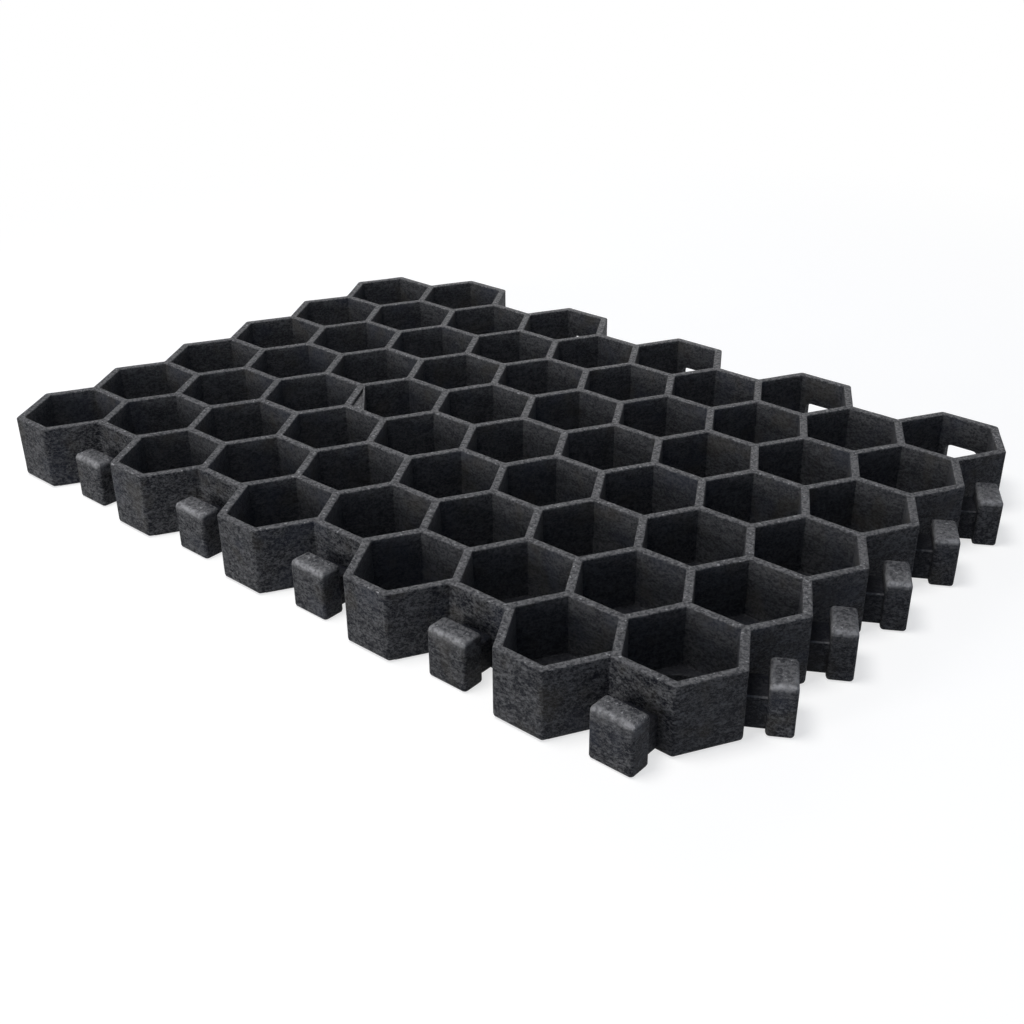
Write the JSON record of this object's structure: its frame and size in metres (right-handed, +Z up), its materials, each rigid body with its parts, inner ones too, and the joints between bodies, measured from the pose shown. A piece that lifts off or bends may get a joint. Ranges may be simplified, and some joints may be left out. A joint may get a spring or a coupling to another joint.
{
  "type": "paddock slab",
  "caption": "Open honeycomb paddock slab with a round hole in each cell floor, T-shaped connectors along the front and one end and matching sockets on the sides opposite.",
  "frame": {"origin": "middle of the overall box in plan, on the underside", "axes": "+X along the longest side, across the rows of cells, towards the side with slanting connectors; +Y along the rows, towards the side with sockets; +Z up"},
  "size_m": [0.6206, 0.4378, 0.046],
  "materials": {
    "slab": "matt moulded recycled plastic, slightly mottled, rims a little lighter"
  },
  "bodies": {
    "root": {"paddock_slab": "slab"}
  },
  "joints": []
}
